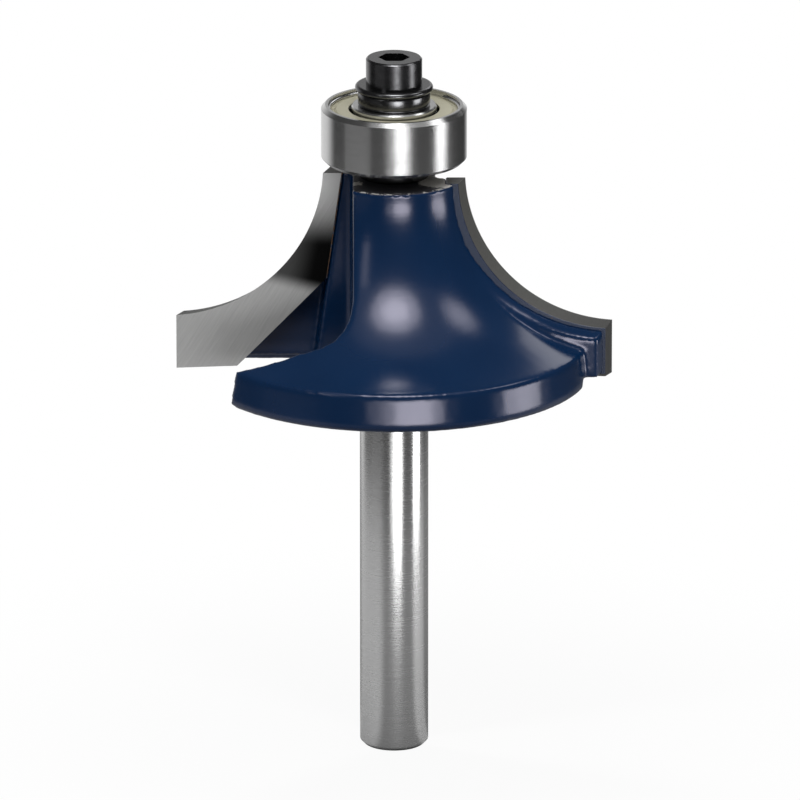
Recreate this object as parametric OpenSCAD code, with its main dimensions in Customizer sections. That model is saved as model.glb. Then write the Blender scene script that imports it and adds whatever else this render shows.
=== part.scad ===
// Corner rounding router bit with two brazed carbide tips and a ball bearing guide.
// It stands on the end of its shank. The axis is Z and the first tip points along +X.
// Seen from the bearing end the bit turns anticlockwise.

/* [Shank] */
// Diameter of the ground shank
shank_d = 6; // [5.6:0.05:6.4]
// Length of the shank below the head
shank_length = 33.9; // [28:0.1:40]
// Chamfer round the end of the shank
shank_chamfer = 0.4; // [0.2:0.05:0.8]
// Fillet between the shank and the head
shank_fillet = 0.8; // [0.4:0.1:1.2]

/* [Head] */
// Height of the head from its underside to the top of its neck
head_height = 18.2; // [17.6:0.1:19.5]
// Diameter of the neck at the top of the head
neck_d = 11.8; // [11.4:0.1:12.1]
// Diameter of the rim at its foot
rim_d = 34.4; // [33.8:0.1:35.2]
// How much the rim draws in from foot to crest, on the radius
rim_taper = 0.3; // [0.1:0.05:0.6]
// Height of the rim
rim_height = 3.35; // [3:0.05:3.8]
// Rounding under the rim
rim_round = 0.5; // [0.2:0.05:0.8]

/* [Gullets] */
// Thickness of the web left between the two gullets
web = 7.2; // [6.8:0.1:7.8]
// Distance from the middle plane to the heel wall, where the wall meets the rim
heel_reach = 9.6; // [9:0.1:10.4]
// Angle of the heel wall
heel_tilt = 5; // [2:0.5:8]
// Radius at the root of the heel wall
gullet_round = 2.8; // [2:0.1:3.2]
// Radius between the web and the wall that carries the tip
hub_round = 0.8; // [0.4:0.1:1.2]

/* [Carbide tips] */
// Diameter that the tips cut
cut_d = 38.1; // [37.6:0.1:38.8]
// Radius of the curved cutting edge
profile_r = 13.7; // [13.2:0.1:15]
// Height of the curved cutting edge
profile_height = 12.95; // [12.4:0.05:13.2]
// How far the top of the curve lies inside the bearing's rim
profile_inset = 0.15; // [0.05:0.05:0.3]
// Height of the tips' lower edge above the underside of the head
edge_up = 0.43; // [0.2:0.05:0.8]
// Thickness of the carbide
tip_t = 1.9; // [1.6:0.05:2.2]
// Distance of the rake face behind the middle plane
rake_offset = 0.65; // [0.4:0.05:0.9]
// Radial clearance angle behind the cutting edge
side_clearance = 17.5; // [12:0.5:20]
// Axial clearance angle behind the cutting edge
end_clearance = 6; // [3:0.5:8]
// Width of the carbide at its top
tip_top_w = 1.6; // [1.4:0.05:1.8]
// Slope of the carbide's inner edge
inner_slope = 8; // [6:0.5:10]
// Length of that inner edge, measured down the axis
inner_drop = 9.6; // [9:0.1:10.2]
// Width of the carbide along its lower edge
tip_foot_w = 5.3; // [4.8:0.1:5.8]
// Corner cut off the carbide's foot on the inner side
foot_cut = 0.85; // [0.5:0.05:1.2]
// Rise of the lower edge towards the axis
foot_rise = 0.18; // [0.1:0.02:0.3]
// Thickness of the braze round the carbide
braze_t = 0.1; // [0.06:0.01:0.15]
// How far the steel beside the carbide lies behind the rake face
face_step = 0.15; // [0.1:0.05:0.3]

/* [Shoulder behind each tip] */
// Step down from the carbide to the shoulder
shoulder_step = 0.1; // [0.05:0.05:0.2]
// Width of the shoulder's land
land_w = 1.3; // [1:0.1:1.6]
// Fall of the land towards the axis
land_in = 0.6; // [0.4:0.05:0.8]
// Fall of the land down the axis
land_down = 0.4; // [0.2:0.05:0.6]
// How far the shoulder sinks into the neck at its top
shoulder_sink = 0.75; // [0.65:0.05:0.85]
// Height of the relief under the tip, above the underside of the head
relief_up = 0.9; // [0.8:0.05:1.1]
// Radius where the relief runs out
runout_r = 0.6; // [0.4:0.05:0.7]

/* [Bearing] */
// Bore of the bearing
bearing_bore = 4.762; // [4.6:0.05:4.9]
// Outside diameter of the bearing
bearing_d = 12.7; // [12.6:0.05:12.9]
// Width of the bearing
bearing_w = 4.978; // [4.9:0.05:5.3]
// Diameter of the balls
ball_d = 2.381; // [2.3:0.01:2.42]
// Diameter of the inner ring's land
inner_land_d = 7.44; // [7.35:0.01:7.5]
// Bore of the outer ring's land
outer_land_d = 10.1; // [10:0.05:10.2]
// Radius of the race grooves over the radius of the balls
groove_ratio = 1.04; // [1.03:0.01:1.06]
// Diameter of the recess in each face of the outer ring
recess_d = 11.68; // [11.6:0.02:11.8]
// Depth of that recess, down to the shield
recess_depth = 0.55; // [0.5:0.05:0.65]
// Height of the lip that keeps the snap ring in the recess
lip_h = 0.2; // [0.15:0.05:0.25]
// Width of that lip
lip_w = 0.1; // [0.05:0.01:0.12]
// Chamfer on the outer ring
ring_chamfer = 0.35; // [0.2:0.05:0.45]
// Chamfer on the bore of the inner ring
bore_chamfer = 0.2; // [0.1:0.05:0.3]
// Thickness of the shields
shield_t = 0.2; // [0.15:0.05:0.25]
// Bore of the shields
shield_bore = 7.96; // [7.85:0.01:8.05]
// Rise of the shields' middle above their edge
shield_rise = 0.15; // [0.05:0.05:0.2]
// Thickness of the snap rings' wire
wire_t = 0.3; // [0.25:0.05:0.3]
// Gap between the ends of each snap ring, in degrees
wire_gap = 24; // [16:2:40]
// Where that gap lies, in degrees from +X
wire_gap_at = 52; // [0:1:90]
// Thickness of the cage's strip
cage_t = 0.2; // [0.15:0.05:0.25]
// Width of the cage's strip
cage_w = 0.72; // [0.6:0.02:0.8]

/* [Screw and washers] */
// Diameter of the collar under the bearing
collar_d = 6.2; // [6:0.1:6.6]
// Height of the collar under the bearing
collar_h = 1.47; // [1.3:0.01:1.8]
// Diameter of the washer on the bearing
washer_d = 6.3; // [6:0.1:6.6]
// Height of the washer on the bearing
washer_h = 1.3; // [1:0.05:1.6]
// Diameter of the flanged washer under the screw's head
flange_d = 6.8; // [6.6:0.1:7]
// Height of the flanged washer
flange_h = 0.55; // [0.4:0.05:0.8]
// Diameter of the screw's thread
screw_d = 3; // [2.6:0.1:3.1]
// Length of the screw below its head
screw_length = 12; // [10:0.5:14]
// Diameter of the screw's head
screw_head_d = 4.9; // [4.5:0.1:5.3]
// Height of the screw's head
screw_head_h = 2.4; // [2.1:0.05:3]
// Width across the flats of the socket
socket_af = 2.4; // [2:0.1:2.6]
// Depth of the socket
socket_depth = 1.5; // [1.2:0.05:1.6]
// Chamfer on the screw's head
screw_chamfer = 0.15; // [0.1:0.05:0.25]
// How far the tapped hole runs past the screw's end
hole_spare = 1.5; // [1:0.1:2]

/* [Fits] */
// Gap between the pilot and what slides over it, on the radius
pilot_fit = 0.015; // [0.01:0.005:0.03]
// Gap between a washer and the screw, on the radius
washer_fit = 0.1; // [0.05:0.01:0.15]
// Gap between the screw's thread and its hole, on the radius
thread_fit = 0.03; // [0.02:0.01:0.05]
// Gap between a ball and each race
ball_play = 0.02; // [0.015:0.005:0.03]
// Gap between a ball and its cage pocket
pocket_play = 0.06; // [0.04:0.01:0.08]
// Gap round a shield and a snap ring in the recess, on the radius
recess_fit = 0.02; // [0.01:0.01:0.04]
// How far the pilot stops below the bearing's face
pilot_short = 0.3; // [0.2:0.05:0.5]

/* [Hidden] */
$fn = 96;

NAVY = "#14254a";
STEEL = "#b9bcc0";
CARBIDE = "#80838a";
COPPER = "#b0713e";
BLACK = "#1c1c1e";
OLIVE = "#a7a07c";

far = 60;               // longer than anything that is cut
arc_steps = 36;         // flats along the curved cutting edge
ball_count = 7;         // one node each
edge_break = 0.12;      // chamfer on the small turned pieces

// Heights up the axis
head_z = shank_length;
neck_z = head_z + head_height;
bearing_z = neck_z + collar_h;
bearing_mid = bearing_z + bearing_w / 2;
bearing_top = bearing_z + bearing_w;
washer_top = bearing_top + washer_h;
screw_head_z = washer_top + flange_h;

// Cove of the head: it leaves the neck upright and ends at the crest of the rim
neck_r = neck_d / 2;
rim_r = rim_d / 2;
crest_r = rim_r - rim_taper;
crest_z = head_z + rim_height;
cove_fall = neck_z - crest_z;
cove_run = crest_r - neck_r;
cove_r = (cove_fall * cove_fall + cove_run * cove_run) / (2 * cove_run);

// Corners of the carbide's outline, seen square to the rake face
tip_x = sqrt(pow(cut_d / 2, 2) - pow(rake_offset, 2));
tip_top_x = bearing_d / 2 - profile_inset;
profile_z = neck_z - profile_height;
foot_z = head_z + edge_up;
foot_in = [tip_x - tip_foot_w, foot_z + foot_rise];
inner_top_x = tip_top_x - tip_top_w;
kink = [inner_top_x + inner_drop * tan(inner_slope), neck_z - inner_drop];
seat_foot_x = inner_top_x + head_height * tan(inner_slope);

// Centre of the curved cutting edge, from its two ends and its radius
chord = [tip_x - tip_top_x, profile_z - neck_z];
centre_off = sqrt(pow(profile_r, 2) - pow(norm(chord) / 2, 2)) / norm(chord);
profile_c = [(tip_x + tip_top_x) / 2 - chord[1] * centre_off,
             (profile_z + neck_z) / 2 + chord[0] * centre_off];
half_arc = asin(norm(chord) / 2 / profile_r);
mid_arc = atan2(-chord[0], chord[1]);

// Planes one behind the other at each tip
hub_y = rake_offset + face_step;
tip_back_y = rake_offset + tip_t;
seat_y = tip_back_y + braze_t;
land_y = seat_y + land_w;

// Gullet in plan: the web, the root circle and the heel wall
web_x = web / 2;
heel_x = sqrt(rim_r * rim_r - heel_reach * heel_reach);
heel_c = heel_x * sin(heel_tilt) + heel_reach * cos(heel_tilt);
root = [web_x + gullet_round,
        (heel_c - gullet_round - (web_x + gullet_round) * sin(heel_tilt)) / cos(heel_tilt)];

// Bearing
pitch_r = (bearing_bore + bearing_d) / 4;
ball_r = ball_d / 2;
groove_r = ball_r * groove_ratio;
pocket_r = ball_r + pocket_play;
recess_r = recess_d / 2;
shield_z = bearing_w / 2 - recess_depth - shield_t;
pilot_r = bearing_bore / 2 - pilot_fit;
bore_r = screw_d / 2 + washer_fit;

// Points along the curved cutting edge from its top to its outer end, moved in and down,
// and `sink` further in at the top
function profile_points(inward = 0, down = 0, sink = 0) =
    [for (i = [0:arc_steps])
        let (a = mid_arc + half_arc * (2 * i / arc_steps - 1))
        [profile_c[0] + profile_r * cos(a) - inward - sink * pow(1 - i / arc_steps, 2),
         profile_c[1] + profile_r * sin(a) - down]];

// Height of the heel wall's line in plan
function heel_wall(x) = (heel_c - x * sin(heel_tilt)) / cos(heel_tilt);

// Half turn for the second wing
module wing(second = false) {
    rotate([0, 0, second ? 180 : 0]) children();
}

module both_wings() {
    for (second = [false, true]) wing(second) children();
}

// A flat outline in X and Z, carried back from y = -from to y = -to
module plate(from, to) {
    translate([0, -from, 0]) rotate([90, 0, 0]) linear_extrude(to - from) children();
}

// The same, leaning `inward` to the axis and `down` for each millimetre back
module leaning_plate(outline, from, to, inward, down) {
    turn = atan(inward);
    dip = atan(down * cos(turn));
    flat = [for (p = outline)
        [p[0] * cos(turn), (p[1] - p[0] * sin(turn) * tan(dip)) * cos(dip)]];
    intersection() {
        translate([0, -from, 0])
            rotate([0, 0, -turn]) rotate([90 + dip, 0, 0])
                linear_extrude(2 * far, center = true) polygon(flat);
        plate(from, to) square(2 * far);
    }
}

// Turned blank: shank, head and bearing pilot in one piece of steel
module blank() {
    rotate_extrude() {
        polygon([[0, 0], [shank_d / 2 - shank_chamfer, 0], [shank_d / 2, shank_chamfer],
                 [shank_d / 2, head_z], [0, head_z]]);
        translate([shank_d / 2, head_z - shank_fillet]) difference() {
            square(shank_fillet);
            translate([shank_fillet, 0]) circle(shank_fillet);
        }
        difference() {
            union() {
                polygon([[0, head_z], [rim_r - rim_round, head_z], [rim_r, head_z + rim_round],
                         [crest_r, crest_z], [crest_r, neck_z], [0, neck_z]]);
                translate([rim_r - rim_round, head_z + rim_round]) circle(rim_round);
            }
            translate([neck_r + cove_r, neck_z]) circle(cove_r, $fn = 192);
        }
        polygon([[0, neck_z], [pilot_r, neck_z], [pilot_r, bearing_top - pilot_short - edge_break],
                 [pilot_r - edge_break, bearing_top - pilot_short],
                 [0, bearing_top - pilot_short]]);
    }
}

// Shoulder behind the carbide: a relieved land, which ends in a wall down to the cove
module shoulder() {
    inward = tan(side_clearance) * (tip_t + braze_t) + shoulder_step;
    down = tan(end_clearance) * (tip_t + braze_t) + shoulder_step;
    leaning_plate(concat(profile_points(inward, down, shoulder_sink),
                         [[tip_x - inward, head_z], [web_x, head_z], [web_x, neck_z - down]]),
                  seat_y, land_y, land_in / land_w, land_down / land_w);
}

// Gullet in front of a tip, cut right through the head
module gullet() {
    translate([0, 0, head_z - 1]) linear_extrude(head_height + 2) {
        polygon([[web_x, hub_round - hub_y], [web_x, root[1]],
                 root + gullet_round * [sin(heel_tilt), cos(heel_tilt)],
                 [far, heel_wall(far)], [far, -hub_y], [web_x + hub_round, -hub_y]]);
        translate(root) circle(gullet_round);
        translate([web_x + hub_round, hub_round - hub_y]) circle(hub_round);
    }
}

// Seat milled back for the carbide, down the whole head
module seat() {
    plate(-hub_y, seat_y)
        polygon([[inner_top_x - braze_t - tan(inner_slope), neck_z + 1], [far, neck_z + 1],
                 [far, head_z - 1], [seat_foot_x - braze_t + tan(inner_slope), head_z - 1]]);
}

// Relief milled under the tip and its shoulder, which runs out in a cutter's radius
module relief() {
    level = head_z + relief_up;
    translate([seat_foot_x, 0, 0]) rotate([90, 0, 90]) linear_extrude(far) {
        translate([-land_y, head_z - 1]) square([land_y, relief_up + 1]);
        intersection() {
            translate([-land_y, level - runout_r]) circle(runout_r);
            translate([-land_y - runout_r, level - runout_r]) square([runout_r + hub_y, runout_r]);
        }
        translate([-land_y - runout_r, head_z - 1])
            square([runout_r, relief_up + 1 - runout_r]);
    }
}

// Tapped hole for the screw, with its drill point
module tapped_hole() {
    r = screw_d / 2 + thread_fit;
    floor_z = screw_head_z - screw_length - hole_spare;
    rotate_extrude()
        polygon([[0, floor_z - r / 2], [r, floor_z], [r, screw_head_z], [0, screw_head_z]]);
}

// Steel body: head, shank and pilot, painted on the head alone
module cutter_body() {
    color(NAVY) difference() {
        difference() {
            difference() {
                union() {
                    blank();
                    both_wings() shoulder();
                }
                both_wings() gullet();
            }
            both_wings() seat();
        }
        both_wings() relief();
        tapped_hole();
    }
}

// Everything behind the cutting edges: the carbide and the braze are ground back to this
module ground_edges(from, to) {
    intersection() {
        leaning_plate(concat([[tip_top_x, neck_z + 1]], profile_points(),
                             [[tip_x, head_z], [web_x, head_z], [web_x, neck_z + 1]]),
                      rake_offset, to, tan(side_clearance), tan(end_clearance));
        plate(from, to) square([far, neck_z]);
    }
}

// Carbide tip, ground with clearance behind every cutting edge
module carbide() {
    intersection() {
        ground_edges(rake_offset, tip_back_y);
        leaning_plate([foot_in, foot_in + foot_cut * [-1, 1], kink, [inner_top_x, neck_z],
                       [far, neck_z], [far, foot_z - (far - tip_x) / tip_foot_w * foot_rise]],
                      rake_offset, tip_back_y, 0, -tan(end_clearance));
    }
}

module carbide_tip(second) {
    color(CARBIDE) wing(second) carbide();
}

// Braze behind the carbide, as far down as the relief, and along its inner edge
module braze(second) {
    wall = [[inner_top_x - braze_t, neck_z], kink - [braze_t, 0]];
    color(COPPER) wing(second) {
        difference() {
            intersection() {
                ground_edges(tip_back_y, seat_y);
                plate(tip_back_y, seat_y)
                    polygon(concat(wall, [foot_in + foot_cut * [-1, 1], foot_in,
                                          [far, foot_in[1]], [far, neck_z]]));
            }
            relief();
        }
        difference() {
            plate(hub_y, tip_back_y)
                polygon(concat(wall, [kink + [braze_t, 0], [inner_top_x + braze_t, neck_z]]));
            carbide();
        }
    }
}

// Ring with its edges broken, standing on z = 0
module turned_ring(inner_r, outer_r, height) {
    rotate_extrude()
        polygon([[inner_r, 0], [outer_r - edge_break, 0], [outer_r, edge_break],
                 [outer_r, height - edge_break], [outer_r - edge_break, height],
                 [inner_r, height]]);
}

module spacer_collar() {
    color(BLACK) translate([0, 0, neck_z])
        turned_ring(pilot_r + pilot_fit, collar_d / 2, collar_h);
}

module spacer_washer() {
    color(BLACK) translate([0, 0, bearing_top]) turned_ring(bore_r, washer_d / 2, washer_h);
}

// Washer with a full round edge
module flanged_washer() {
    color(BLACK) translate([0, 0, washer_top]) rotate_extrude() {
        translate([bore_r, 0]) square([flange_d / 2 - flange_h / 2 - bore_r, flange_h]);
        translate([flange_d / 2 - flange_h / 2, flange_h / 2]) circle(flange_h / 2, $fn = 48);
    }
}

// Socket head screw; its thread is a plain cylinder
module clamp_screw() {
    head_r = screw_head_d / 2;
    color(BLACK) translate([0, 0, screw_head_z]) difference() {
        rotate_extrude()
            polygon([[0, -screw_length], [screw_d / 2 - edge_break * 2, -screw_length],
                     [screw_d / 2, edge_break * 2 - screw_length], [screw_d / 2, 0], [head_r, 0],
                     [head_r, screw_head_h - screw_chamfer],
                     [head_r - screw_chamfer, screw_head_h], [0, screw_head_h]]);
        translate([0, 0, screw_head_h - socket_depth])
            cylinder(d = socket_af / cos(30), h = screw_head_h, $fn = 6);
        translate([0, 0, screw_head_h - socket_depth - socket_af / 4])
            cylinder(r1 = 0, r2 = socket_af / 2, h = socket_af / 4);
    }
}

// Inner ring of the bearing, with the groove for the balls
module inner_ring() {
    r = inner_land_d / 2;
    half = bearing_w / 2;
    color(STEEL) translate([0, 0, bearing_mid]) rotate_extrude() difference() {
        polygon([[bearing_bore / 2, bore_chamfer - half], [bearing_bore / 2 + bore_chamfer, -half],
                 [r - edge_break, -half], [r, edge_break - half], [r, half - edge_break],
                 [r - edge_break, half], [bearing_bore / 2 + bore_chamfer, half],
                 [bearing_bore / 2, half - bore_chamfer]]);
        translate([pitch_r - ball_r - ball_play + groove_r, 0]) circle(groove_r);
    }
}

// Outer ring of the bearing, with its groove and a lipped recess in each face
module outer_ring() {
    r = bearing_d / 2;
    half = bearing_w / 2;
    color(STEEL) translate([0, 0, bearing_mid]) rotate_extrude() difference() {
        polygon([[outer_land_d / 2, -half], [r - ring_chamfer, -half], [r, ring_chamfer - half],
                 [r, half - ring_chamfer], [r - ring_chamfer, half], [outer_land_d / 2, half]]);
        translate([pitch_r + ball_r + ball_play - groove_r, 0]) circle(groove_r);
        for (side = [0, 1]) mirror([0, side]) {
            translate([0, shield_z]) square([recess_r - lip_w, bearing_w]);
            translate([0, shield_z]) square([recess_r, half - lip_h - shield_z]);
        }
    }
}

module ball(number) {
    color(STEEL) rotate([0, 0, number * 360 / ball_count])
        translate([pitch_r, 0, bearing_mid]) sphere(ball_r, $fn = 48);
}

// Half of the pressed ribbon cage: a flat strip that is domed over each ball
module half_cage() {
    shell_r = pocket_r + cage_t;
    color("#c8b27a") difference() {
        intersection() {
            rotate_extrude() translate([pitch_r - cage_w / 2, 0]) square([cage_w, shell_r]);
            union() {
                cylinder(r = pitch_r + cage_w, h = cage_t);
                for (i = [1:ball_count]) rotate([0, 0, i * 360 / ball_count])
                    translate([pitch_r, 0, 0]) sphere(shell_r, $fn = 48);
            }
        }
        for (i = [1:ball_count]) rotate([0, 0, i * 360 / ball_count])
            translate([pitch_r, 0, 0]) sphere(pocket_r, $fn = 48);
    }
}

module cage(lower) {
    translate([0, 0, bearing_mid]) mirror([0, 0, lower ? 1 : 0]) half_cage();
}

// Pressed shield: its edge lies on the recess's step, its middle stands a little proud
module shield(lower) {
    out_r = recess_r - recess_fit;
    step_r = outer_land_d / 2;
    in_r = shield_bore / 2;
    color(OLIVE) translate([0, 0, bearing_mid]) mirror([0, 0, lower ? 1 : 0])
        translate([0, 0, shield_z]) rotate_extrude()
            polygon([[out_r, 0], [step_r, 0], [step_r - shield_rise, shield_rise],
                     [in_r, shield_rise], [in_r, shield_rise + shield_t],
                     [step_r, shield_rise + shield_t],
                     [step_r + shield_rise, shield_t], [out_r, shield_t]]);
}

// Snap ring of round wire that keeps a shield in its recess
module snap_ring(lower) {
    color(STEEL) translate([0, 0, bearing_mid]) mirror([0, 0, lower ? 1 : 0])
        translate([0, 0, shield_z + shield_t + wire_t / 2])
            rotate([0, 0, wire_gap_at + wire_gap / 2]) rotate_extrude(angle = 360 - wire_gap)
                translate([recess_r - recess_fit - wire_t / 2, 0]) circle(wire_t / 2, $fn = 32);
}

cutter_body();
carbide_tip(false);  // carbide_tip_a
carbide_tip(true);  // carbide_tip_b
braze(false);  // braze_a
braze(true);  // braze_b
spacer_collar();
inner_ring();
outer_ring();
ball(1);  // ball_1
ball(2);  // ball_2
ball(3);  // ball_3
ball(4);  // ball_4
ball(5);  // ball_5
ball(6);  // ball_6
ball(7);  // ball_7
cage(false);  // cage_upper
cage(true);  // cage_lower
shield(false);  // shield_upper
shield(true);  // shield_lower
snap_ring(false);  // snap_ring_upper
snap_ring(true);  // snap_ring_lower
spacer_washer();
flanged_washer();
clamp_screw();
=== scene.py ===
"""Router bit with two carbide tips and a ball bearing guide, standing on the end of its shank."""

import math

import bmesh
import bpy
from mathutils import Matrix, Vector


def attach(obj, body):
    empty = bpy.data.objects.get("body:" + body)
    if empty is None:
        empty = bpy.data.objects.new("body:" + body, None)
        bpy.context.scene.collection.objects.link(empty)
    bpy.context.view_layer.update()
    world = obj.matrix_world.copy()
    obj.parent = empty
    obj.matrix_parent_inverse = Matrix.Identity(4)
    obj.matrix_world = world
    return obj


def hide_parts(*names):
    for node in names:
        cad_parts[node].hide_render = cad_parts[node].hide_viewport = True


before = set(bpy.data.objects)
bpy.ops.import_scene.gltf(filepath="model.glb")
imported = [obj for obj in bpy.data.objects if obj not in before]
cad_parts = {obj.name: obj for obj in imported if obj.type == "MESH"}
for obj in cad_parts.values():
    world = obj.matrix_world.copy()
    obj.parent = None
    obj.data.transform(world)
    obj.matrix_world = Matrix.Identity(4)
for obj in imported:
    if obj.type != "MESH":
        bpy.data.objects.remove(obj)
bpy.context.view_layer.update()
MM = 0.001


# Camera: a long lens more than a metre away, looking along +Y from 17.5 degrees above the bit,
# which gives the photograph's frame and its slight perspective.
camera_target = Vector((0.516, 0, 31.573)) * MM
camera_distance = 1178.45 * MM
camera_elevation = math.radians(17.535)
camera_data = bpy.data.cameras.new("camera")
camera_data.sensor_width = 36
camera_data.lens = 605.83
camera_data.clip_start, camera_data.clip_end = 0.1, 10
camera = bpy.data.objects.new("camera", camera_data)
bpy.context.scene.collection.objects.link(camera)
camera_back = Vector((0, -math.cos(camera_elevation), math.sin(camera_elevation)))
camera.location = camera_target + camera_back * camera_distance
camera.rotation_euler = (-camera_back).to_track_quat("-Z", "Y").to_euler()
bpy.context.scene.camera = camera
bpy.context.scene.view_settings.view_transform = "Standard"


# Studio: a white sweep behind the bit, a dim room in front of it and soft boxes round it. The
# camera sees plain white, and polished steel sees the sweep only behind the bit.
class Value:
    """A node's output socket that can be used in sums."""

    def __init__(self, nodes, socket):
        self.nodes, self.socket = nodes, socket

    def maths(self, operation, *values):
        return self.nodes.add("ShaderNodeMath", {"operation": operation}, *values)

    def __add__(self, other):
        return self.maths("ADD", self, other)

    def __radd__(self, other):
        return self.maths("ADD", other, self)

    def __sub__(self, other):
        return self.maths("SUBTRACT", self, other)

    def __rsub__(self, other):
        return self.maths("SUBTRACT", other, self)

    def __mul__(self, other):
        return self.maths("MULTIPLY", self, other)

    def __rmul__(self, other):
        return self.maths("MULTIPLY", other, self)

    def __truediv__(self, other):
        return self.maths("DIVIDE", self, other)

    def __pow__(self, other):
        return self.maths("POWER", self, other)

    def __abs__(self):
        return self.maths("ABSOLUTE", self)

    def most(self, other):
        """The larger of two values."""
        return self.maths("MAXIMUM", self, other)

    def ramp(self, low, high, to_low=0.0, to_high=1.0):
        """Smooth step from to_low at low to to_high at high."""
        settings = {"interpolation_type": "SMOOTHSTEP"}
        sockets = {"From Min": low, "From Max": high, "To Min": to_low, "To Max": to_high}
        return self.nodes.add("ShaderNodeMapRange", settings, Value=self, **sockets)


class Finish:
    """A material or the world, and one method that adds any node to it."""

    def __init__(self, name, owner=None):
        self.owner = owner or bpy.data.materials.new(name)
        self.owner.use_nodes = True
        self.tree = self.owner.node_tree
        self.tree.nodes.clear()

    def add(self, kind, settings=None, *in_order, **named):
        """Adds a node, given its settings and the values or links of its sockets."""
        node = self.tree.nodes.new(kind)
        for key, value in (settings or {}).items():
            setattr(node, key, value)
        sockets = [*zip([s for s in node.inputs if s.enabled], in_order)]
        sockets += [(node.inputs[key], value) for key, value in named.items()]
        for socket, value in sockets:
            if isinstance(value, Value):
                self.tree.links.new(value.socket, socket)
            else:
                socket.default_value = (*value, 1) if socket.type == "RGBA" else value
        results = [s for s in node.outputs if s.enabled]
        return Value(self, results[0]) if results else node

    def output(self, value, name):
        """Another output of the node that this value comes from."""
        return Value(self, value.socket.node.outputs[name])

    def place(self):
        """The surface point in the part's own frame, in millimetres, and its three numbers."""
        here = self.output(self.add("ShaderNodeTexCoord"), "Object")
        scaled = self.add("ShaderNodeVectorMath", {"operation": "SCALE"}, here, Scale=1 / MM)
        split = self.add("ShaderNodeSeparateXYZ", None, scaled)
        return scaled, *(self.output(split, axis) for axis in "XYZ")

    def noise(self, where, scale, detail=2.0, roughness=0.5, stretch=(1, 1, 1), turn=(0, 0, 0)):
        """Noise from 0 to 1; its pattern is drawn out along three turned axes."""
        kind = {"vector_type": "TEXTURE"}
        where = self.add("ShaderNodeMapping", kind, where, Rotation=turn, Scale=stretch)
        sockets = {"Vector": where, "Scale": scale, "Detail": detail, "Roughness": roughness}
        return self.add("ShaderNodeTexNoise", None, **sockets)

    def mix(self, factor, first, second):
        """One colour at factor 0 and another at factor 1."""
        return self.add("ShaderNodeMix", {"data_type": "RGBA"}, factor, first, second)

    def relief(self, height):
        """The surface's normal where it stands up by this many millimetres."""
        return self.add("ShaderNodeBump", None, Strength=1.0, Distance=MM, Height=height)

    def surface(self, **sockets):
        """The finished material, with these values for its shader."""
        shader = self.add("ShaderNodeBsdfPrincipled", None, **sockets)
        self.add("ShaderNodeOutputMaterial", None, shader)
        return self.owner


world = bpy.data.worlds.new("studio")
bpy.context.scene.world = world
room = Finish("studio", world)
direction = room.output(room.add("ShaderNodeTexCoord"), "Generated")
split = room.add("ShaderNodeSeparateXYZ", None, direction)
right, behind, up = (room.output(split, axis) for axis in "XYZ")
rays = room.add("ShaderNodeLightPath")
seen = room.output(rays, "Is Camera Ray")
glossy = room.output(rays, "Is Glossy Ray")
sweep = (behind - right * 0.35).ramp(0.6, 0.95) * up.ramp(0.6, 0.0)
room_light = up.ramp(-0.2, 1.0, 0.35, 1.5)
shown = glossy * (sweep * 0.8 + 0.05) + (1 - glossy) * room_light
strength = seen + (1 - seen) * shown
background = room.add("ShaderNodeBackground", None, Color=(1, 1, 1), Strength=strength)
room.add("ShaderNodeOutputWorld", None, background)

lamp_height = 45 * MM                                   # the height that the lamps face
lamp_distance, nearer, further = 0.6, 0.59, 0.61        # metres from there to a lamp


def soft_box(name, azimuth, elevation, width, height, radiance, shape="ELLIPSE",
             distance=lamp_distance):
    """A soft lamp, placed and sized in degrees as seen from the bit.

    Azimuth 0 is the camera's side and 90 is to its right.
    """
    lamp = bpy.data.lights.new(name, "AREA")
    lamp.shape = shape
    lamp.size = 2 * distance * math.tan(math.radians(width / 2))
    lamp.size_y = 2 * distance * math.tan(math.radians(height / 2))
    face = lamp.size * lamp.size_y * (math.pi / 4 if shape == "ELLIPSE" else 1)
    lamp.energy = radiance * math.pi * face
    a, e = math.radians(azimuth), math.radians(elevation)
    back = Vector((math.sin(a) * math.cos(e), -math.cos(a) * math.cos(e), math.sin(e)))
    box = bpy.data.objects.new(name, lamp)
    bpy.context.scene.collection.objects.link(box)
    box.location = Vector((0, 0, lamp_height)) + back * distance
    box.rotation_euler = back.to_track_quat("Z", "Y").to_euler()
    box.visible_camera = False


soft_box("key_low", 8, -6.5, 44, 10, 3)
soft_box("key_low_core", 12, -6.5, 27, 10, 8, distance=nearer)
soft_box("side_low", 79, -8, 28, 11, 7)
soft_box("strip_left", -42, 26, 8, 27, 1.8, "RECTANGLE")
soft_box("overhead_front", 2, 58, 40, 30, 5)
soft_box("overhead_core", 2, 58, 22, 17, 5.5, distance=nearer)
soft_box("overhead_halo", 14, 66, 84, 50, 0.3, distance=further)
soft_box("overhead_right", 88, 47, 30, 16, 2.2)
soft_box("overhead_right_core", 88, 47, 16, 9, 2, distance=nearer)
soft_box("fill_left", -61, -17, 46, 24, 0.12)
soft_box("back_right", 158, 29, 28, 15, 1.6, "RECTANGLE")


# Floor: a pale sheet of card under the bit. It shows a faint shadow round the foot of the
# shank and fades into the white of the sweep.
floor_radius = 150 * MM
bm = bmesh.new()
bmesh.ops.create_circle(bm, cap_ends=True, segments=96, radius=floor_radius)
floor_mesh = bpy.data.meshes.new("floor")
bm.to_mesh(floor_mesh)
bm.free()
floor = bpy.data.objects.new("floor", floor_mesh)
bpy.context.scene.collection.objects.link(floor)

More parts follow.
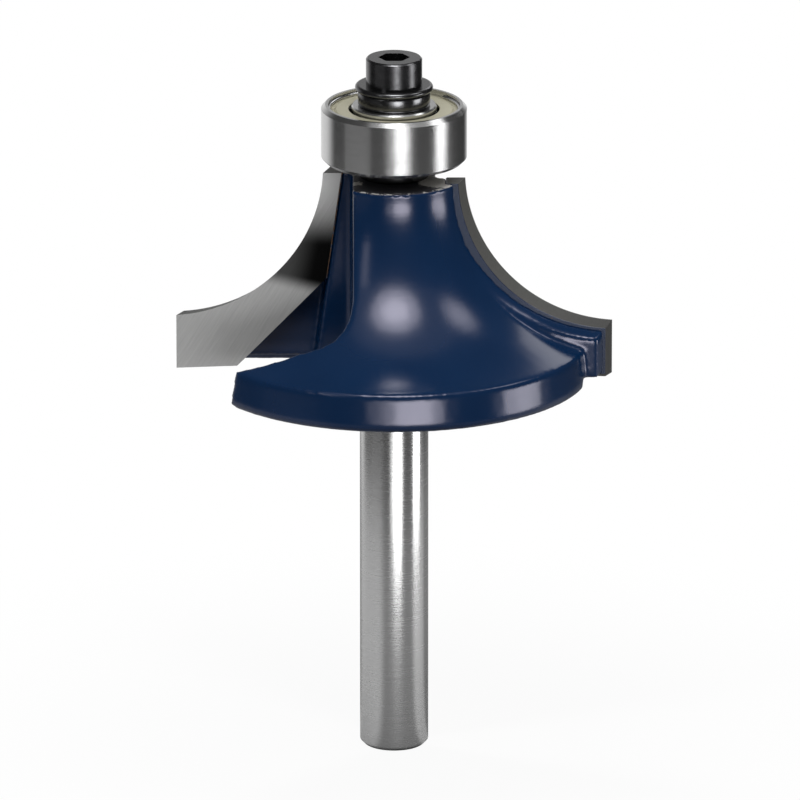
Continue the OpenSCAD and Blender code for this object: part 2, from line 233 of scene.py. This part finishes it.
sheet = Finish("floor")
_, x, y, _ = sheet.place()
reach = (x * x + y * y) ** 0.5
fade = reach.ramp(12, 60)
aside = x / reach
# The card is painted lighter in a wedge to each side of the bit: painted light that polished
# steel reflects.
card_with_painted_light = 0.14 + 0.17 * aside.ramp(-0.45, -0.8).most(aside.ramp(0.85, 0.98))
seen = sheet.output(sheet.add("ShaderNodeLightPath"), "Is Camera Ray")
white = sheet.add("ShaderNodeEmission", None, Color=(1, 1, 1), Strength=1.0)
card = sheet.add("ShaderNodeBsdfDiffuse", None, Color=card_with_painted_light)
mixed = sheet.add("ShaderNodeMixShader", None, seen * (0.95 + 0.05 * fade), card, white)
sheet.add("ShaderNodeOutputMaterial", None, mixed)
floor_mesh.materials.append(sheet.owner)


# Painted head: one piece of steel with the shank, turned to a cove and milled with two gullets.
# Its thick coat of glossy navy enamel rounds every edge and fills every inner corner. The top of
# the neck, where the tips were brazed, is painted near black as painted shade under the bearing,
# with rough bare patches beside each tip.
coat_end = 33.1     # height where the coat stops, at the foot of the fillet under the head
grain = 0.172       # size of the cells that the coated surface is remade from
coat_passes = 11    # rounds of smoothing, which set how soft the edges are
bare_passes = 2     # rounds of smoothing on the neck's top, which has no coat
bare_depth = 0.4    # how far down from the neck's top its crisp edge reaches
flat_enough = math.radians(0.4)     # faces that turn less than this are made one
neck_top = 52.1
neck_edge = 5.65
NAVY_DEEP = (0.0006, 0.0085, 0.03)
NAVY = (0.001, 0.0125, 0.042)
# painted shade: the near-black colour given to the neck's top, which lies in shade under the
# bearing
NECK_TOP_PAINTED_SHADE = (0.003, 0.0035, 0.005)
BARE = (0.36, 0.35, 0.33)

paint = Finish("navy_paint")
where, x, y, z = paint.place()
cloud = paint.noise(where, 0.15, 3)
speckle = paint.noise(where, 2.2, 4, 0.65)
peel = paint.noise(where, 1.1, 2)
lathe_lines = paint.add("ShaderNodeTexNoise", {"noise_dimensions": "1D"},
                        W=z, Scale=3.0, Detail=2.0)
radius = (x * x + y * y) ** 0.5
# The neck's top face: painted near black there as painted shade, and home of the bare patches
top = z.ramp(neck_top - 0.12, neck_top - 0.04) * z.ramp(neck_top + 0.15, neck_top + 0.1)


def patch(angle, reach, size):
    """A blot on the neck's top at this angle and reach, and its twin half a turn on."""
    turn = math.radians(angle)
    along = abs(x * math.cos(turn) + y * math.sin(turn)) - reach
    across = y * math.cos(turn) - x * math.sin(turn)
    return ((along * along + across * across) ** 0.5 + speckle * 1.6).ramp(size + 0.9, size + 0.7)


edge = radius.ramp(neck_edge - 0.1, neck_edge + 0.1) * z.ramp(neck_top - 0.3, neck_top - 0.15)
chips = edge * speckle.ramp(0.5, 0.56)
blots = patch(-26, 4.4, 1.9).most(patch(37, 4.2, 0.6))
bare = (blots * top).most(chips * top * 0.8)
navy = paint.mix(cloud, NAVY_DEEP, NAVY)
paint_material = paint.surface(**{
    "Base Color": paint.mix(bare, paint.mix(top, navy, NECK_TOP_PAINTED_SHADE), BARE), "Metallic": 0.4 * bare,
    "Roughness": 0.175 + 0.05 * cloud + 0.35 * bare + 0.4 * top, "IOR": 1.5,
    "Specular Tint": (1, 0.95, 1.1),
    "Normal": paint.relief(peel * 0.004 + lathe_lines * 0.0015 + bare * speckle * 0.12)})


def merged(name):
    """A copy of a CAD node's mesh with its loose triangles joined."""
    bm = bmesh.new()
    bm.from_mesh(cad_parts[name].data)
    bmesh.ops.remove_doubles(bm, verts=bm.verts, dist=0.001 * MM)
    return bm


def piece_of(name, bm, material, body, slot, *stands_for):
    """A finished piece of the object, smooth shaded, that rides on its body."""
    mesh = bpy.data.meshes.new(name)
    bm.to_mesh(mesh)
    bm.free()
    mesh.materials.append(material)
    for face in mesh.polygons:
        face.use_smooth = True
    piece = bpy.data.objects.new(name, mesh)
    bpy.context.scene.collection.objects.link(piece)
    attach(piece, body)
    if stands_for:
        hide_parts(*stands_for)
    return piece


bm = merged("cutter_body")
cut = bmesh.ops.bisect_plane(bm, geom=bm.verts[:] + bm.edges[:] + bm.faces[:],
                             plane_co=(0, 0, coat_end * MM), plane_no=(0, 0, 1), clear_inner=True)
cut_edges = [e for e in cut["geom_cut"] if isinstance(e, bmesh.types.BMEdge)]
bmesh.ops.edgeloop_fill(bm, edges=cut_edges)
# The cells lie askew, so that no flat face of the head lines up with them and shows steps.
askew = Matrix.Rotation(math.radians(37), 3, "X") @ Matrix.Rotation(math.radians(23), 3, "Y")
bmesh.ops.rotate(bm, verts=bm.verts, matrix=askew)
rough_head = bpy.data.meshes.new("rough_head")
bm.to_mesh(rough_head)
bm.free()
blank = bpy.data.objects.new("rough_head", rough_head)
bpy.context.scene.collection.objects.link(blank)
cells = blank.modifiers.new("cells", "REMESH")
cells.mode = "VOXEL"
cells.voxel_size = grain * MM
remade = blank.evaluated_get(bpy.context.evaluated_depsgraph_get())
coated = bpy.data.meshes.new_from_object(remade)
bpy.data.objects.remove(blank)

bm = bmesh.new()
bm.from_mesh(coated)
bmesh.ops.rotate(bm, verts=bm.verts, matrix=askew.inverted())
coat_top = (neck_top - bare_depth) * MM
for number in range(coat_passes):
    soft = [v for v in bm.verts if number < bare_passes or v.co.z < coat_top]
    bmesh.ops.smooth_vert(bm, verts=soft, factor=0.5,
                          use_axis_x=True, use_axis_y=True, use_axis_z=True)
bmesh.ops.dissolve_limit(bm, angle_limit=flat_enough, verts=bm.verts, edges=bm.edges)
piece_of("painted_head", bm, paint_material, "cutter", "navy_paint", "cutter_body")


# Shank: the same bar of steel, left bare and ground round to fit the collet. The wheel leaves
# fine rings round it, and its end is chamfered.
shank_radius, shank_chamfer, shank_edge = 3.0, 0.4, 0.06
shank_top = 34.4    # inside the head, above the end of the coat
SHANK_DULL = (0.62, 0.62, 0.62)
SHANK_BRIGHT = (0.76, 0.76, 0.76)

ground = Finish("ground_shank")
where, *_ = ground.place()
rings = ground.noise(where, 1.0, 4, 0.6, stretch=(6, 6, 0.08))
scuffs = ground.noise(where, 0.5, 3, 0.6, stretch=(1, 1, 4))
ground_material = ground.surface(**{
    "Base Color": ground.mix(rings, SHANK_DULL, SHANK_BRIGHT), "Metallic": 1.0,
    "Roughness": 0.17 + 0.12 * rings + 0.06 * scuffs, "Anisotropic": 0.6,
    "Anisotropic Rotation": 0.25, "Normal": ground.relief(rings * 0.0015)})


def soft_edges(bm, width):
    """Rounds every edge that turns by more than 25 degrees."""
    sharp = [e for e in bm.edges if e.is_manifold and e.calc_face_angle() > math.radians(25)]
    bmesh.ops.bevel(bm, geom=sharp, offset=width * MM, offset_type="OFFSET", affect="EDGES",
                    segments=2, profile=0.5, material=-1, clamp_overlap=True)


bm = bmesh.new()
outline = [(0, 0), (shank_radius - shank_chamfer, 0), (shank_radius, shank_chamfer),
           (shank_radius, shank_top), (0, shank_top)]
corners = [bm.verts.new((r * MM, 0, h * MM)) for r, h in outline]
for pair in zip(corners, corners[1:]):
    bm.edges.new(pair)
bmesh.ops.spin(bm, geom=bm.verts[:] + bm.edges[:], cent=(0, 0, 0), axis=(0, 0, 1),
               angle=math.tau, steps=128, use_merge=True)
bmesh.ops.remove_doubles(bm, verts=bm.verts, dist=0.0005 * MM)
bmesh.ops.recalc_face_normals(bm, faces=bm.faces)
soft_edges(bm, shank_edge)
piece_of("shank", bm, ground_material, "cutter", "bearing_steel")


# Carbide tips: flat blanks of sintered carbide, brazed into the seats. The rake faces are ground
# with slanting scratches and the clearance faces with finer ones. Each rake face has a dark band
# painted across its middle, darkest toward the inner edge, as a painted dark reflection, and is
# painted lighter toward its top as painted light.
rake_y = 0.65                   # distance of each rake face from the axis
scratch_slant = math.radians(-58)
CARBIDE_DARK = (0.21, 0.21, 0.21)
CARBIDE_LIGHT = (0.34, 0.34, 0.335)
# painted light: the lighter grey toward the top of each rake face
CARBIDE_PAINTED_LIGHT = (0.5, 0.5, 0.5)
# painted dark reflection: the near-black colour of the band across each rake face
RAKE_PAINTED_DARK_REFLECTION = (0.004, 0.004, 0.004)
FLANK_DARK = (0.055, 0.055, 0.052)
FLANK_LIGHT = (0.08, 0.08, 0.074)
FLANK_END = (0.042, 0.042, 0.04)

carbide = Finish("carbide")
where, x, y, z = carbide.place()
out = abs(x)
rake = abs(y).ramp(rake_y + 0.07, rake_y + 0.02)
slant = carbide.noise(where, 1.0, 4, 0.65, stretch=(3, 1, 0.14), turn=(0, scratch_slant, 0))
fine = carbide.noise(where, 3.0, 3, 0.6)
from_braze = out + (z - 43.7) * 0.21 - 6.2
# The band painted dark as a painted reflection: across the rake face between these heights,
# darkest by the braze
dark_band_height = (z - out * 0.25).ramp(39.1, 40.7) * z.ramp(49.5, 45.5)
painted_dark_band = dark_band_height * from_braze.ramp(3.5, 0.6, 0.82, 1.0)
tone = carbide.mix(slant, CARBIDE_DARK, CARBIDE_LIGHT)
# The rake face is painted lighter toward its top, as painted light.
tone = carbide.mix(z.ramp(48.5, 51.5) * 0.6, tone, CARBIDE_PAINTED_LIGHT)
tone = carbide.mix(painted_dark_band, tone, RAKE_PAINTED_DARK_REFLECTION)
flank = carbide.mix(fine, FLANK_DARK, FLANK_LIGHT)
flank = carbide.mix(out.ramp(8, 17), flank, FLANK_END)
carbide_material = carbide.surface(**{
    "Base Color": carbide.mix(rake, flank, tone), "Metallic": 0.35 + 0.65 * painted_dark_band * rake,
    "Roughness": 0.45 + 0.16 * slant,
    "Normal": carbide.relief(slant * 0.004 * rake + fine * 0.002)})


def wear(name, material):
    """Gives a CAD node its material."""
    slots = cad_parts[name].data.materials
    slots.clear()
    slots.append(material)


for name in ("carbide_tip_a", "carbide_tip_b"):
    wear(name, carbide_material)


# Braze: a thin seam of copper alloy round each tip. Paint and flux cover most of it, so it shows
# as a dull brown line beside the rake face and as specks elsewhere.
seam_y = 0.84       # distance from the axis at which the seam goes under the paint
BRAZE_COVERED = (0.0012, 0.009, 0.033)
BRAZE_DULL = (0.022, 0.016, 0.011)
BRAZE_BRIGHT = (0.1, 0.06, 0.04)

braze = Finish("braze")
where, _, y, _ = braze.place()
specks = braze.noise(where, 1.4, 4, 0.7)
seam = abs(y).ramp(seam_y + 0.06, seam_y) * specks.ramp(0.36, 0.5)
open_seam = seam.most(specks.ramp(0.66, 0.7))
copper = braze.mix(specks, BRAZE_DULL, BRAZE_BRIGHT)
braze_material = braze.surface(**{
    "Base Color": braze.mix(open_seam, BRAZE_COVERED, copper),
    "Metallic": open_seam, "Roughness": 0.25 + 0.2 * open_seam, "IOR": 1.5})
for name in ("braze_a", "braze_b"):
    wear(name, braze_material)


# Bearing: hardened steel rings, ground on every face, with the balls and a pressed cage between
# them. The outer ring is the guide that rolls on the work.
STEEL_DULL = (0.52, 0.52, 0.52)
STEEL_BRIGHT = (0.66, 0.66, 0.66)

steel = Finish("bearing_steel")
where, *_ = steel.place()
rings = steel.noise(where, 1.0, 4, 0.6, stretch=(1.4, 1.4, 0.05))
steel_material = steel.surface(**{
    "Base Color": steel.mix(rings, STEEL_DULL, STEEL_BRIGHT), "Metallic": 1.0,
    "Roughness": 0.14 + 0.1 * rings, "Anisotropic": 0.4, "Anisotropic Rotation": 0.25,
    "Normal": steel.relief(rings * 0.0012)})
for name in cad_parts:
    if name.startswith(("inner_ring", "outer_ring", "ball_", "cage_", "snap_ring")):
        wear(name, steel_material)


# Shields: thin stampings of plated sheet that keep dust out of the balls. A wire ring snapped
# into the outer ring's groove holds each one.
SHIELD_OLIVE = (0.4, 0.38, 0.27)
SHIELD_PALE = (0.52, 0.5, 0.39)

shield = Finish("shield")
where, *_ = shield.place()
grime = shield.noise(where, 0.8, 4, 0.6)
shield_material = shield.surface(**{
    "Base Color": shield.mix(grime, SHIELD_OLIVE, SHIELD_PALE), "Metallic": 0.6,
    "Roughness": 0.34 + 0.14 * grime})
for name in ("shield_upper", "shield_lower"):
    wear(name, shield_material)


# Screw, washers and collar: turned steel with a black oxide finish. The socket screw clamps the
# flanged washer, the plain washer and the inner ring down on the collar, which holds the bearing
# off the head. Tumbling has taken the edge off every corner.
oxide_edge = 0.06
OXIDE_DARK = (0.085, 0.085, 0.089)
OXIDE_LIGHT = (0.14, 0.14, 0.145)

oxide = Finish("black_oxide")
where, *_ = oxide.place()
mottle = oxide.noise(where, 1.3, 4, 0.6)
tool_lines = oxide.noise(where, 1.0, 3, 0.6, stretch=(4, 4, 0.1))
oxide_material = oxide.surface(**{
    "Base Color": oxide.mix(mottle, OXIDE_DARK, OXIDE_LIGHT), "Metallic": 1.0,
    "Roughness": 0.17 + 0.1 * mottle,
    "Normal": oxide.relief(tool_lines * 0.001 + mottle * 0.001)})

for name in ("spacer_collar", "spacer_washer", "flanged_washer", "clamp_screw"):
    bm = merged(name)
    bmesh.ops.dissolve_limit(bm, angle_limit=math.radians(1), verts=bm.verts, edges=bm.edges)
    soft_edges(bm, oxide_edge)
    piece = piece_of(f"soft_{name}", bm, oxide_material, "cutter", "black_oxide", name)
    even = piece.modifiers.new("even", "WEIGHTED_NORMAL")
    even.keep_sharp = True
